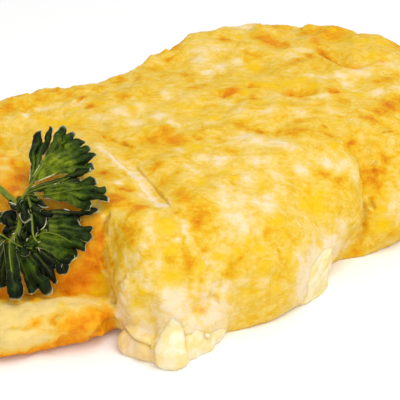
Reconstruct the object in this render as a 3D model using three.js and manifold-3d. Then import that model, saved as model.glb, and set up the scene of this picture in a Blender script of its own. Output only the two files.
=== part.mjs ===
// A folded omelette with a soft filling and a sprig of parsley, in millimetres, +Z up.
// It rests on z = 0 with its long side along X. The outer leaf is folded over an inner leaf,
// which slopes down at the -X end to a ragged lip. The filling runs along the front edge
// inside the fold, and comes out at the front corner and farther along.
import * as THREE from "three";
import { mergeVertices } from "three/addons/utils/BufferGeometryUtils.js";
import { ImprovedNoise } from "three/addons/math/ImprovedNoise.js";
import Module from "manifold-3d";

const wasm = await Module();
wasm.setup();
const perlin = new ImprovedNoise();

const crestHeight = 31; // highest part of the outer leaf
const crestAt = { x: 20, y: -2 }; // where it is highest
const crestFall = { left: 2, right: 1.2, across: 1.2 }; // fall over crestSpan
const crestSpan = { along: 65, across: 45 };
const innerHeight = 27.5; // top of the inner leaf, under the outer one
const innerFall = 1.5;
const lipThickness = 8.5; // bottom leaf where it sticks out at the -X end
const lipTuck = 5; // how far the lip's underside slopes in before it meets the floor
const lipWaist = 0.32; // level of its widest line, as a share of its thickness
const fillingHeight = 9.5; // top of the filling inside the fold
const fillingBottom = 4.5; // its underside inside the fold
const clearance = 0.45; // between two pieces that touch
const leafletThickness = 0.7;
const leafletStalk = 1.1; // width of a leaflet where it leaves the stem
const leafletCut = 0.4; // depth of the cuts between lobes, as a share of the reach
const leafletWave = 0.8; // height of the waves across a leaflet
const leafletDroop = 1.3; // how far its tip hangs
const stemRadius = 0.85;

// Unevenness of the crust: height and size of the coarse, fine and ragged lumps.
const coarse = { height: 1.5, size: 15, seed: 3.1 };
const fine = { height: 0.9, size: 6.5, seed: 7.7 };
const ragged = { height: 1.4, size: 4.5, seed: 5.3 };

// Plan outlines run counterclockwise from the front corner: x, y, width of the rounded shoulder.
const outerPlan = [
  [-49.7, -32.4, 6], [-48.3, -39, 10], [-43, -44, 15], [-34, -47, 20], [-22, -51.2, 25],
  [-10, -52, 28], [2, -49.8, 26], [9, -46.6, 23], [13, -46.6, 23], [20, -49.4, 25],
  [31, -51, 26], [46, -50.5, 26], [62, -44.5, 26], [77, -35, 24], [88, -19, 21],
  [91.5, 0, 16], [89.5, 18, 14], [82, 33, 12], [69, 45, 11], [56, 48.5, 10], [43, 47.5, 10],
  [28, 46.5, 11], [10, 46, 12], [-8, 49.5, 12], [-26, 52.4, 11], [-40, 51.4, 9], [-46, 38, 6],
  [-44.5, 22, 4.5], [-41.5, 8, 4.5], [-42, -5, 4.5], [-45.5, -15, 4.5], [-48.6, -24.4, 5],
];
const innerPlan = [
  [-45, -28, 5], [-34, -36, 8], [-22, -34, 10], [-14, -20, 12], [-12, 4, 12], [-14, 28, 12],
  [-24, 43, 12], [-42, 44, 14], [-60, 38, 20], [-72, 26, 26], [-76, 10, 28], [-70, -3, 24],
  [-58, -13.5, 14], [-49.5, -21, 6],
];
const lipPlan = [
  [-48, -29, 5], [-34, -38, 6], [-22, -30, 6], [-18, 0, 6], [-22, 34, 6], [-32, 45, 6],
  [-48, 48, 5], [-66, 44, 4.5], [-80, 35, 4], [-88.5, 21, 4], [-91, 5, 4], [-87.5, -9, 4],
  [-80, -17.5, 4], [-72.5, -22.5, 4], [-65, -26.5, 4], [-56, -30.5, 4],
];
const fillingPlan = [
  [-48, -31, 2], [-48, -37.5, 2], [-43, -42.5, 2], [-34, -44, 2], [-20, -43, 2],
  [-6, -45, 2], [6, -44, 2], [9, -36, 2], [-8, -29, 2], [-30, -25, 2], [-42, -25, 2],
];

// Soft lumps that hang out of the fold: middle, half sizes, turn about Z in degrees, taper
// towards the top, and roundness (1 is an ellipsoid, less is more of a slab).
const oozing = [
  { at: [-49.7, -38.1, 0.8], half: [5.8, 3.2, 4.2], turn: -69, taper: 0.05, round: 0.65 }, // wedge
  { at: [-44.6, -43.3, 7.6], half: [2.9, 2.3, 7.0], turn: -43, taper: 0.1, round: 0.9 }, // tongue
  { at: [-47.5, -45.9, 2.6], half: [3.6, 3.2, 4.8], turn: -43, taper: 0.2, round: 0.8 }, // its end
  { at: [-42.1, -46.6, 4.0], half: [2.4, 2.6, 5.6], turn: -30, taper: 0.1, round: 0.9 },
  { at: [-38.9, -47.1, 3.6], half: [2.8, 2.4, 5.6], turn: -20, taper: 0.1, round: 0.95 },
  { at: [-34.8, -46.3, 4.6], half: [4.2, 2.9, 5.2], turn: -8, taper: 0, round: 1 }, // curd
  { at: [-3.8, -47.8, 5.2], half: [10.0, 4.3, 7.8], turn: 8, taper: 0, round: 0.9 }, // pale bulge
];

// Relief of the outer leaf: middle, radius and height of each swell or pit.
const swells = [
  { at: [-45, -33, 9], radius: 8, height: 1.8 }, { at: [-20, -43, 14], radius: 13, height: 1.2 },
  { at: [11, -46, 15], radius: 7.5, height: 3.0 }, { at: [32, -48, 14], radius: 10, height: 1.0 },
  { at: [62, -34, 20], radius: 16, height: 1.2 }, { at: [40, 36, 28], radius: 16, height: 1.4 },
  { at: [80, -3, 28], radius: 13, height: 2.4 }, { at: [2, 22, 30], radius: 12, height: 0.8 },
  { at: [3, 38, 29], radius: 11, height: -1.8 }, { at: [-24, 41, 28], radius: 14, height: 1.2 },
  { at: [70, 28, 30], radius: 6, height: -2.4 },
  { at: [24, 16, 31], radius: 5, height: -1.6 }, { at: [37, 9, 31], radius: 5, height: -1.4 },
  { at: [56, 16, 30], radius: 5, height: -1.4 }, { at: [70, 8, 28], radius: 5, height: -1.2 },
  { at: [14, 40, 27], radius: 5, height: -1.0 }, { at: [-30, 24, 29], radius: 6, height: -1.0 },
];
// Furrows: points along the line, half width and depth.
const furrows = [
  { line: [[-20, 12, 30], [-24, -2, 30], [-29, -15, 30], [-33, -27, 28], [-34, -37, 23],
    [-31, -45, 13]], half: 2.6, depth: 1.5 },
  { line: [[26, -39, 25], [22.6, -44.5, 20.8], [20.4, -48, 16], [19.4, -49.2, 11], [17, -48.8, 7],
    [9, -46.8, 1]], half: 3.0, depth: 3.6 },
];

// The sprig lies in a leaning plane of its own: x across, y up the slope, z out of it.
const sprigPlace = [-54.5, -1.6, 29.5];
const sprigLean = 38; // degrees from level
const sprigTurn = -58; // degrees about the vertical
// Leaflets: foot, heading and opening angle in degrees, reach, number of lobes, rise in degrees.
const leaflets = [
  { foot: [0, 0, 0.5], heading: 94, reach: 21, opening: 17, lobes: 2, rise: -15 },
  { foot: [0.4, 1, 0.6], heading: 55, reach: 22, opening: 44, lobes: 5, rise: -9 },
  { foot: [0.5, 0, 0.8], heading: 7, reach: 20.5, opening: 38, lobes: 4, rise: 1 },
  { foot: [-1, -5.5, 0.8], heading: 8, reach: 14, opening: 40, lobes: 3, rise: 5 },
  { foot: [-0.8, -9.5, 1], heading: -1, reach: 20, opening: 34, lobes: 4, rise: 0 },
  { foot: [-0.6, -11, 0.7], heading: -27, reach: 19, opening: 32, lobes: 3, rise: -4 },
  { foot: [-0.5, -11.8, 1], heading: -57, reach: 17.5, opening: 48, lobes: 4, rise: 2 },
  { foot: [-0.5, -11.8, 0.7], heading: -101, reach: 14.5, opening: 44, lobes: 4, rise: 0 },
  { foot: [-0.6, -10, 0.7], heading: -150, reach: 13, opening: 50, lobes: 4, rise: -4 },
  { foot: [-2.4, -2.6, 0.7], heading: -168, reach: 12, opening: 50, lobes: 4, rise: -6 },
  { foot: [-1, -5, 0.9], heading: -48, reach: 9, opening: 70, lobes: 3, rise: 20 },
  { foot: [-1, -4.5, 0.9], heading: -128, reach: 9, opening: 70, lobes: 3, rise: 16 },
];
const stems = [
  [[-18, 4, -3], [-10, 2.4, -1], [-2.3, -2.3, 0.6], [-0.9, -7, 0.8], [-0.5, -12.6, 0.8]],
  [[-2.6, -2.4, 0.6], [-0.4, -0.4, 0.6], [1.6, 3, 0.2]],
];

function toSolid(geometry) {
  geometry.deleteAttribute("normal");
  geometry.deleteAttribute("uv");
  const merged = mergeVertices(geometry, 1e-4);
  return new wasm.Manifold(new wasm.Mesh({
    numProp: 3,
    vertProperties: new Float32Array(merged.attributes.position.array),
    triVerts: new Uint32Array(merged.index.array),
  }));
}

function toGeometry(solid) {
  const mesh = solid.getMesh();
  const geometry = new THREE.BufferGeometry();
  geometry.setAttribute("position", new THREE.Float32BufferAttribute(mesh.vertProperties, 3));
  geometry.setIndex(new THREE.Uint32BufferAttribute(mesh.triVerts, 1));
  geometry.computeVertexNormals();
  return geometry;
}

function lumps(point, { height, size, seed }) {
  return height * perlin.noise(point.x / size + seed, point.y / size - seed,
    point.z / size + 2.5 * seed);
}

function distanceToLine(point, line) {
  let nearest = Infinity;
  const closest = new THREE.Vector3();
  for (let i = 1; i < line.length; i += 1) {
    const piece = new THREE.Line3(
      new THREE.Vector3(...line[i - 1]), new THREE.Vector3(...line[i]));
    nearest = Math.min(nearest, piece.closestPointToPoint(point, true, closest).distanceTo(point));
  }
  return nearest;
}

// How far the crust stands out at a point, from the named swells, furrows and fine unevenness.
function crustRelief(point) {
  let height = lumps(point, coarse) + lumps(point, fine);
  for (const swell of swells) {
    const away = point.distanceTo(new THREE.Vector3(...swell.at)) / swell.radius;
    height += swell.height * Math.exp(-away * away);
  }
  for (const furrow of furrows) {
    const away = distanceToLine(point, furrow.line) / furrow.half;
    height -= furrow.depth * Math.exp(-away * away);
  }
  return height;
}

// A soft closed slab over a plan outline. Its rim is a stack of rings from the underside to
// the shoulder, its top is a grid between the four sides of the last ring, and it is lifted
// by top(x, y) and moved outward by relief(point). Its widest level is the waist.
function softSlab({ plan, along, across, rings, round, top, waist = 0.2, low = 0, tuck = 1.5,
  relief = () => 0, grow = 0 }) {
  const count = 2 * (along + across);
  const curve = new THREE.CatmullRomCurve3(plan.map((p) => new THREE.Vector3(...p)), true,
    "centripetal");
  const rim = curve.getSpacedPoints(count).slice(0, count);
  const inward = rim.map((point, i) => {
    const next = rim[(i + 1) % count];
    const last = rim[(i + count - 1) % count];
    return new THREE.Vector2(last.y - next.y, next.x - last.x).normalize();
  });
  const positions = [];
  const triangles = [];
  const place = (x, y, z, out) => {
    const point = new THREE.Vector3(x, y, z);
    const onFloor = z < 0.001;
    point.addScaledVector(out, relief(point) + grow);
    positions.push(point.x, point.y, onFloor ? -2 * grow : Math.max(point.z, -2 * grow));
    return positions.length / 3 - 1;
  };
  const stack = [];
  let shoulder = [];
  for (let k = 0; k <= rings; k += 1) {
    const rise = (k - 2) / (rings - 2);
    const turn = Math.max(rise, 0) * (Math.PI / 2);
    let ring = rim.map((edge, i) => {
      const inset = k < 2 ? tuck * (1 - k / 2) ** 2 : edge.z * (1 - Math.cos(turn) ** (2 / round));
      return new THREE.Vector2(edge.x, edge.y).addScaledVector(inward[i], inset);
    });
    for (let pass = 0; pass < 2 * (k - 2); pass += 1) {
      ring = ring.map((at, i) => at.clone().add(ring[(i + 1) % count])
        .add(ring[(i + count - 1) % count]).divideScalar(3));
    }
    shoulder = ring;
    stack.push(ring.map(({ x, y }, i) => {
      const wide = low + waist * (top(x, y) - low);
      const z = k < 2 ? low + (wide - low) * (k / 2)
        : wide + (top(x, y) - wide) * Math.sin(turn) ** (2 / round);
      const tilt = k < 2 ? -(1 - k / 2) * (Math.PI / 4) : turn;
      const out = new THREE.Vector3(-inward[i].x * Math.cos(tilt), -inward[i].y * Math.cos(tilt),
        Math.sin(tilt));
      return place(x, y, z, out);
    }));
  }
  for (let k = 0; k < rings; k += 1) {
    for (let i = 0; i < count; i += 1) {
      const j = (i + 1) % count;
      triangles.push(stack[k][i], stack[k][j], stack[k + 1][j]);
      triangles.push(stack[k][i], stack[k + 1][j], stack[k + 1][i]);
    }
  }
  const front = (i) => i % count;
  const right = (j) => along + j;
  const back = (i) => 2 * along + across - i;
  const left = (j) => (count - j) % count;
  const up = new THREE.Vector3(0, 0, 1);
  const grid = [];
  for (let i = 0; i <= along; i += 1) {
    grid.push([]);
    for (let j = 0; j <= across; j += 1) {
      const u = i / along;
      const v = j / across;
      let border = -1;
      if (j === 0) border = front(i);
      else if (i === along) border = right(j);
      else if (j === across) border = back(i);
      else if (i === 0) border = left(j);
      if (border >= 0) {
        grid[i].push(stack[rings][border]);
        continue;
      }
      const at = new THREE.Vector2();
      at.addScaledVector(shoulder[front(i)], 1 - v).addScaledVector(shoulder[back(i)], v);
      at.addScaledVector(shoulder[left(j)], 1 - u).addScaledVector(shoulder[right(j)], u);
      at.addScaledVector(shoulder[front(0)], -(1 - u) * (1 - v));
      at.addScaledVector(shoulder[right(0)], -u * (1 - v));
      at.addScaledVector(shoulder[back(0)], -(1 - u) * v);
      at.addScaledVector(shoulder[right(across)], -u * v);
      grid[i].push(place(at.x, at.y, top(at.x, at.y), up));
    }
  }
  for (let i = 0; i < along; i += 1) {
    for (let j = 0; j < across; j += 1) {
      triangles.push(grid[i][j], grid[i + 1][j], grid[i + 1][j + 1]);
      triangles.push(grid[i][j], grid[i + 1][j + 1], grid[i][j + 1]);
    }
  }
  const foot = stack[0].map((n) => new THREE.Vector2(positions[3 * n], positions[3 * n + 1]));
  for (const [a, b, c] of THREE.ShapeUtils.triangulateShape(foot, [])) {
    triangles.push(stack[0][a], stack[0][c], stack[0][b]);
  }
  const geometry = new THREE.BufferGeometry();
  geometry.setAttribute("position", new THREE.Float32BufferAttribute(positions, 3));
  geometry.setIndex(triangles);
  return toSolid(geometry);
}

function softLump({ at, half, turn, taper, round }, grow = 0) {
  const ball = new THREE.SphereGeometry(1, 11, 7);
  const place = ball.attributes.position;
  const point = new THREE.Vector3();
  for (let i = 0; i < place.count; i += 1) {
    point.fromBufferAttribute(place, i).applyAxisAngle(new THREE.Vector3(1, 0, 0), Math.PI / 2);
    const swell = 1 + lumps(point, { height: 0.16, size: 0.8, seed: at[0] });
    const full = (share) => Math.sign(share) * Math.abs(share) ** round;
    const wide = swell * (1 - taper * point.z);
    point.set(full(point.x) * (half[0] * wide + grow), full(point.y) * (half[1] * wide + grow),
      full(point.z) * (half[2] * swell + grow));
    point.applyAxisAngle(new THREE.Vector3(0, 0, 1), THREE.MathUtils.degToRad(turn));
    point.add(new THREE.Vector3(...at));
    place.setXYZ(i, point.x, point.y, Math.max(point.z, -2 * grow));
  }
  return toSolid(ball);
}

// A thin wavy leaflet: a flat box bent into a fan whose far edge is cut into rounded lobes.
function leaflet({ foot, heading, opening, reach, lobes, rise }) {
  const sheet = new THREE.BoxGeometry(1, 1, 1, 4 * lobes, 2, 1);
  const place = sheet.attributes.position;
  const point = new THREE.Vector3();
  for (let i = 0; i < place.count; i += 1) {
    const across = place.getX(i) + 0.5;
    const out = (place.getY(i) + 0.5) ** 0.8;
    const lobe = (across * lobes) % 1;
    const cut = (1 - Math.sqrt(Math.sin(Math.PI * lobe))) * leafletCut * out ** 2;
    const far = reach * out * (1 - cut - 0.12 * (2 * across - 1) ** 2) - 0.6 * stemRadius;
    const angle = THREE.MathUtils.degToRad(opening * (0.5 - across));
    const wave = leafletWave * out * Math.sin(Math.PI * across * lobes + heading)
      - leafletDroop * out ** 3;
    point.set(far * Math.cos(angle), far * Math.sin(angle) + leafletStalk * (0.5 - across),
      far * Math.tan(THREE.MathUtils.degToRad(rise)) + wave + leafletThickness * place.getZ(i));
    point.applyAxisAngle(new THREE.Vector3(0, 0, 1), THREE.MathUtils.degToRad(heading));
    place.setXYZ(i, point.x + foot[0], point.y + foot[1], point.z + foot[2]);
  }
  return toSolid(sheet);
}

function stem(points) {
  const path = new THREE.CatmullRomCurve3(points.map((p) => new THREE.Vector3(...p)));
  const ring = new THREE.Shape().absarc(0, 0, stemRadius, 0, 2 * Math.PI);
  return toSolid(new THREE.ExtrudeGeometry(ring, { steps: 12, curveSegments: 4,
    extrudePath: path, bevelEnabled: false }));
}

const outerTop = (x, y) => crestHeight - crestFall.across * ((y - crestAt.y) / crestSpan.across) ** 2
  - (x < crestAt.x ? crestFall.left : crestFall.right) * ((x - crestAt.x) / crestSpan.along) ** 2;
const innerTop = (x, y) => innerHeight - innerFall * ((y - 8) / 40) ** 2;
const lipTop = (x, y) => lipThickness + 0.8 * Math.sin(x / 5 + y / 4);

const outerLeaf = softSlab({ plan: outerPlan, along: 40, across: 22, rings: 10, round: 2.2,
  top: outerTop, relief: crustRelief });
const innerLeaf = softSlab({ plan: innerPlan, along: 20, across: 16, rings: 8, round: 1.9,
  top: innerTop, relief: (point) => 0.7 * crustRelief(point) });
const bottomLeaf = softSlab({ plan: lipPlan, along: 26, across: 20, rings: 5, round: 3,
  top: lipTop, waist: lipWaist, tuck: lipTuck,
  relief: (point) => 0.8 * crustRelief(point) + lumps(point, ragged) });

function filling(grow) {
  const run = softSlab({ plan: fillingPlan, along: 16, across: 6, rings: 4, round: 2.2,
    top: () => fillingHeight, low: fillingBottom, waist: 0.5, tuck: 1, grow });
  return oozing.reduce((solid, lump) => solid.add(softLump(lump, grow)), run);
}

const egg = outerLeaf.add(innerLeaf).add(bottomLeaf).subtract(filling(clearance));
const parsley = [...stems.map(stem), ...leaflets.map(leaflet)]
  .reduce((joined, part) => joined.add(part));

// Joining thin sheets can leave a loose scrap, so only the largest body is kept.
function largest(solid) {
  return solid.decompose().sort((a, b) => b.volume() - a.volume())[0];
}

function piece(name, solid, color, roughness) {
  const material = new THREE.MeshStandardMaterial({ color, roughness, metalness: 0 });
  const mesh = new THREE.Mesh(toGeometry(solid), material);
  mesh.name = name;
  return mesh;
}

const omelette = new THREE.Group();
omelette.add(piece("folded_egg", largest(egg), 0xf3cf5a, 0.55));
omelette.add(piece("soft_filling", filling(0), 0xf6e6b4, 0.4));

const sprig = piece("parsley_sprig", largest(parsley), 0x2f5a1e, 0.4);
sprig.position.set(...sprigPlace);
sprig.rotation.set(THREE.MathUtils.degToRad(sprigLean), 0, THREE.MathUtils.degToRad(sprigTurn),
  "ZXY");
omelette.add(sprig);

export default omelette;
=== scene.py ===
import math

import bmesh
import bpy
import numpy as np
from mathutils import Matrix, Vector
from mathutils.bvhtree import BVHTree


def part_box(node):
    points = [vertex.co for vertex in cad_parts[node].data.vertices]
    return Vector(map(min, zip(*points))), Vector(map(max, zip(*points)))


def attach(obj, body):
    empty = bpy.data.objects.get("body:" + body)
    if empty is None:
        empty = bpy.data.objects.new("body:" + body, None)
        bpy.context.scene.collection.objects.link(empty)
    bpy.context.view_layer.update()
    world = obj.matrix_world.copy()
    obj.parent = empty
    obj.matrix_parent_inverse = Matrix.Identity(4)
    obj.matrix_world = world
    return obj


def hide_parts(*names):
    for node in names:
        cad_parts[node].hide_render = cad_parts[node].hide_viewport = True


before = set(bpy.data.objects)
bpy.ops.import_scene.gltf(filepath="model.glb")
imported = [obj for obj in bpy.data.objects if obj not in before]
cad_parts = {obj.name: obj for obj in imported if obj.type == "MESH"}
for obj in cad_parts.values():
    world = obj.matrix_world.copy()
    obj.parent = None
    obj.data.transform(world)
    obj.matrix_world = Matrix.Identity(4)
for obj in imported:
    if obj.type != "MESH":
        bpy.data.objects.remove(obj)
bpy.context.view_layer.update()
mm = 0.001  # lists below are in millimetres, meshes in metres

scene = bpy.context.scene
scene.view_settings.view_transform = "Standard"

# Camera and light

cameraLook = {
    "target": (-4.0, -9.5, 10.6),
    "distance": 321.0,
    "azimuth": -43.5,  # degrees off the front, towards the lip
    "pitch": 30.0,
    "lens": 108.0,
}


def addCamera(look):
    camera = bpy.data.objects.new("camera", bpy.data.cameras.new("camera"))
    scene.collection.objects.link(camera)
    turn, pitch = math.radians(look["azimuth"]), math.radians(look["pitch"])
    back = Vector((math.sin(turn) * math.cos(pitch), -math.cos(turn) * math.cos(pitch), math.sin(pitch)))
    camera.location = (Vector(look["target"]) + back * look["distance"]) * mm
    camera.rotation_euler = back.to_track_quat("Z", "Y").to_euler()
    camera.data.lens = look["lens"]
    camera.data.clip_start = 0.01
    scene.camera = camera


studio = {
    "sky": 0.6,
    "softbox": {"at": (0.1, -0.3, 0.8), "size": 0.6, "power": 4.15},
    "front": {"at": (-0.55, -0.45, 0.35), "size": 0.6, "power": 1.3},
    "floorSize": 3.0,
    "floor": {"Base Color": (0.97, 0.97, 0.97, 1), "Roughness": 0.9, "Specular IOR Level": 0.1},
}


def addLights(look):
    world = bpy.data.worlds.new("studio")
    world.use_nodes = True
    sky = world.node_tree.nodes["Background"].inputs
    sky["Color"].default_value = (1, 1, 1, 1)
    sky["Strength"].default_value = look["sky"]
    scene.world = world
    for name in ("softbox", "front"):
        light = bpy.data.objects.new(name, bpy.data.lights.new(name, "AREA"))
        scene.collection.objects.link(light)
        light.location = look[name]["at"]
        light.rotation_euler = Vector(look[name]["at"]).to_track_quat("Z", "Y").to_euler()
        light.data.size = look[name]["size"]
        light.data.energy = look[name]["power"]


def addFloor(look):
    bm = bmesh.new()
    bmesh.ops.create_grid(bm, x_segments=1, y_segments=1, size=look["floorSize"] / 2)
    floor = newPiece("floor", bm)
    dress(floor, newMaterial("pale floor", look["floor"]))


# Helpers for meshes


def newPiece(name, bm):
    mesh = bpy.data.meshes.new(name)
    bm.to_mesh(mesh)
    bm.free()
    piece = bpy.data.objects.new(name, mesh)
    scene.collection.objects.link(piece)
    return piece


def dress(piece, material):
    for face in piece.data.polygons:
        face.use_smooth = True
    piece.data.materials.clear()
    piece.data.materials.append(material)


def nodeCopy(node, swell=0.0):
    # A merged copy of a node of the frame, swollen by so many millimetres.
    bm = bmesh.new()
    bm.from_mesh(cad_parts[node].data)
    bmesh.ops.remove_doubles(bm, verts=bm.verts, dist=1e-6)
    for vert in bm.verts:
        vert.co += vert.normal * swell * mm
    return bm


def moveInto(bm, other):
    mesh = bpy.data.meshes.new("moved")
    other.to_mesh(mesh)
    other.free()
    bm.from_mesh(mesh)
    bpy.data.meshes.remove(mesh)


def applied(piece):
    # The mesh with its modifiers in it.
    bpy.context.view_layer.update()
    settled = piece.evaluated_get(bpy.context.evaluated_depsgraph_get())
    mesh = bpy.data.meshes.new_from_object(settled)
    piece.modifiers.clear()
    piece.data = mesh
    return piece


def remeshed(piece, voxel):
    modifier = piece.modifiers.new("remesh", "REMESH")
    modifier.mode = "VOXEL"
    modifier.voxel_size = voxel * mm
    modifier.use_smooth_shade = True
    return applied(piece)


def smoothed(piece, factor, times, share=None):
    # Evenly, or more where the share is larger.
    modifier = piece.modifiers.new("smooth", "SMOOTH")
    modifier.factor, modifier.iterations = factor, times
    if share is not None:
        group = piece.vertex_groups.new(name="share")
        for i in np.flatnonzero(share > 0.02):
            group.add([int(i)], float(share[i]), "REPLACE")
        modifier.vertex_group = "share"
    applied(piece)
    piece.vertex_groups.clear()
    return piece


def readPoints(mesh):
    points = np.zeros(len(mesh.vertices) * 3)
    normals = np.zeros(len(mesh.vertices) * 3)
    mesh.vertices.foreach_get("co", points)
    mesh.vertices.foreach_get("normal", normals)
    return points.reshape(-1, 3) / mm, normals.reshape(-1, 3)


def writePoints(mesh, points):
    mesh.vertices.foreach_set("co", (points * mm).ravel())
    mesh.update()


def writeMasks(mesh, masks):
    for name, values in masks.items():
        layer = mesh.attributes.new(name, "FLOAT", "POINT")
        layer.data.foreach_set("value", values.astype(np.float32))


def lumps(points, size, seed, octaves=3, stretch=(1, 1, 1)):
    # Even gradient noise from about -1 to 1, the same on each run.
    order = np.random.RandomState(int(seed * 10)).permutation(256)
    slopes = np.random.RandomState(7).normal(size=(256, 3))
    slopes /= np.linalg.norm(slopes, axis=1)[:, None]
    total = np.zeros(len(points))
    for octave in range(octaves):
        at = points / (np.array(stretch) * size) * 2.0 ** octave + seed
        cell = np.floor(at).astype(int)
        part = at - cell
        ease = part ** 3 * (part * (part * 6 - 15) + 10)
        for corner in np.ndindex(2, 2, 2):
            x, y, z = (cell + corner).T % 256
            slope = slopes[order[(order[(order[x] + y) % 256] + z) % 256]]
            share = np.prod(np.where(corner, ease, 1 - ease), axis=1)
            total += 0.5 ** octave * share * np.einsum("ij,ij->i", slope, part - corner)
    return 1.6 * total


def nearLine(points, line):
    # Distance to a chain of points, the share of the way along it, and the signed side in plan.
    line = np.array(line, float)
    best = np.full(len(points), 1e9)
    along = np.zeros(len(points))
    side = np.zeros(len(points))
    flat = line.shape[1] == 2
    at = points[:, :2] if flat else points
    for i in range(len(line) - 1):
        step = line[i + 1] - line[i]
        t = np.clip((at - line[i]) @ step / (step @ step), 0, 1)
        gap = at - line[i] - t[:, None] * step
        d = np.linalg.norm(gap, axis=1)
        closer = d < best
        best[closer] = d[closer]
        along[closer] = (i + t[closer]) / (len(line) - 1)
        side[closer] = np.sign(step[0] * gap[closer, 1] - step[1] * gap[closer, 0])
    return best, along, side


def steps(values, low, high):
    t = np.clip((values - low) / (high - low), 0, 1)
    return t * t * (3 - 2 * t)


def bell(away, reach):
    return np.exp(-(away / reach) ** 2)


def fading(along, low, high):
    # Towards both ends of a line.
    return steps(np.minimum(along, 1 - along), low, high)


def around(points, x, y, z, radius):
    # A soft round patch.
    return bell(np.linalg.norm(points - (x, y, z), axis=1), radius)


def spread(points, spots):
    total = np.zeros(len(points))
    for spot in spots:
        total = np.maximum(total, around(points, *spot))
    return total


# Helpers for materials


def newMaterial(name, values):
    # The values are the same all over the surface.
    material = bpy.data.materials.new(name)
    material.use_nodes = True
    for socket, value in values.items():
        material.node_tree.nodes["Principled BSDF"].inputs[socket].default_value = value
    return material


def addNode(tree, kind, inputs=(), **settings):
    # An input takes a value or the output of another node.
    node = tree.nodes.new(kind)
    for name, value in settings.items():
        setattr(node, name, value)
    for name, value in dict(inputs).items():
        if isinstance(value, bpy.types.NodeSocket):
            tree.links.new(value, node.inputs[name])
        else:
            node.inputs[name].default_value = value
    return node


def mathNode(tree, operation, a, b):
    return addNode(tree, "ShaderNodeMath", {0: a, 1: b}, operation=operation).outputs[0]


def weighted(tree, base, parts, shares):
    # The base and what each part adds by its share.
    for name, share in shares.items():
        base = mathNode(tree, "ADD", base, mathNode(tree, "MULTIPLY", parts[name], share))
    return base


def blended(tree, color, other, mask, share=1.0):
    # Another colour over this one.
    both = {0: mathNode(tree, "MULTIPLY", mask, share), 6: color, 7: other}
    return addNode(tree, "ShaderNodeMix", both, data_type="RGBA").outputs[2]


def addRamp(tree, value, stops):
    node = addNode(tree, "ShaderNodeValToRGB", {0: value})
    ramp = node.color_ramp
    while len(ramp.elements) < len(stops):
        ramp.elements.new(0.5)
    for element, (position, color) in zip(ramp.elements, stops):
        element.position, element.color = position, srgb(*color)
    return node.outputs[0]


def srgb(red, green, blue):
    linear = [((c / 255 + 0.055) / 1.055) ** 2.4 if c > 10 else c / 3294.6 for c in (red, green, blue)]
    return (*linear, 1)


def newGroup(name, inputs, output):
    group = bpy.data.node_groups.new(name, "ShaderNodeTree")
    for label, value in inputs.items():
        kind = "NodeSocketVector" if label == "Vector" else "NodeSocketFloat"
        group.interface.new_socket(label, in_out="INPUT", socket_type=kind).default_value = value
    group.interface.new_socket(output, in_out="OUTPUT", socket_type="NodeSocketFloat")
    return group, addNode(group, "NodeGroupInput").outputs


def noiseGroup():
    # Noise around zero, with its size in millimetres.
    inputs = {"Vector": (0, 0, 0), "Size": 2.0, "Detail": 4.0, "Roughness": 0.5, "Distortion": 0.0}
    group, inside = newGroup("even noise", inputs, "Value")
    values = {name: inside[name] for name in ("Vector", "Detail", "Roughness", "Distortion")}
    values["Scale"] = mathNode(group, "DIVIDE", 1000.0, inside["Size"])
    grain = addNode(group, "ShaderNodeTexNoise", values).outputs["Fac"]
    addNode(group, "NodeGroupOutput", {"Value": mathNode(group, "SUBTRACT", grain, 0.5)})
    return group


def patchGroup():
    # A soft patch painted on the mesh, with an edge that noise makes ragged.
    inputs = {"Painted": 0.0, "Size": 2.0, "Raggedness": 0.5, "Low": 0.35, "High": 0.7}
    group, inside = newGroup("ragged patch", inputs, "Mask")
    values = {"Vector": addNode(group, "ShaderNodeTexCoord").outputs["Object"], "Detail": 4.0,
              "Scale": mathNode(group, "DIVIDE", 1000.0, inside["Size"]), "Roughness": 0.6, "Distortion": 0.6}
    grain = addNode(group, "ShaderNodeTexNoise", values).outputs["Fac"]
    offset = mathNode(group, "MULTIPLY", mathNode(group, "SUBTRACT", grain, 0.5), inside["Raggedness"])
    total = mathNode(group, "ADD", inside["Painted"], mathNode(group, "MULTIPLY", offset, 2.0))
    edge = {"Value": total, "From Min": inside["Low"], "From Max": inside["High"]}
    mask = addNode(group, "ShaderNodeMapRange", edge, interpolation_type="SMOOTHSTEP").outputs[0]
    addNode(group, "NodeGroupOutput", {"Mask": mask})
    return group


evenNoise = noiseGroup()
raggedPatch = patchGroup()


def noise(tree, place, size, detail, roughness=0.5, distortion=0.0):
    values = {"Vector": place, "Size": size, "Detail": detail}
    values.update({"Roughness": roughness, "Distortion": distortion})
    return addNode(tree, "ShaderNodeGroup", values, node_tree=evenNoise).outputs["Value"]


def patch(tree, painted, size, raggedness, low, high):
    values = {"Painted": painted, "Size": size, "Raggedness": raggedness, "Low": low, "High": high}
    return addNode(tree, "ShaderNodeGroup", values, node_tree=raggedPatch).outputs["Mask"]


def paintedMask(tree, name):
    return addNode(tree, "ShaderNodeAttribute", attribute_name=name).outputs["Fac"]


def objectPlace(tree):
    return addNode(tree, "ShaderNodeTexCoord").outputs["Object"]


def finishSurface(material, color, height, strength, depth):
    tree = material.node_tree
    shader = tree.nodes["Principled BSDF"]
    relief = {"Height": height, "Strength": strength, "Distance": depth * mm}
    tree.links.new(color, shader.inputs["Base Color"])
    tree.links.new(addNode(tree, "ShaderNodeBump", relief).outputs["Normal"], shader.inputs["Normal"])
    return material


# Folded egg

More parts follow.
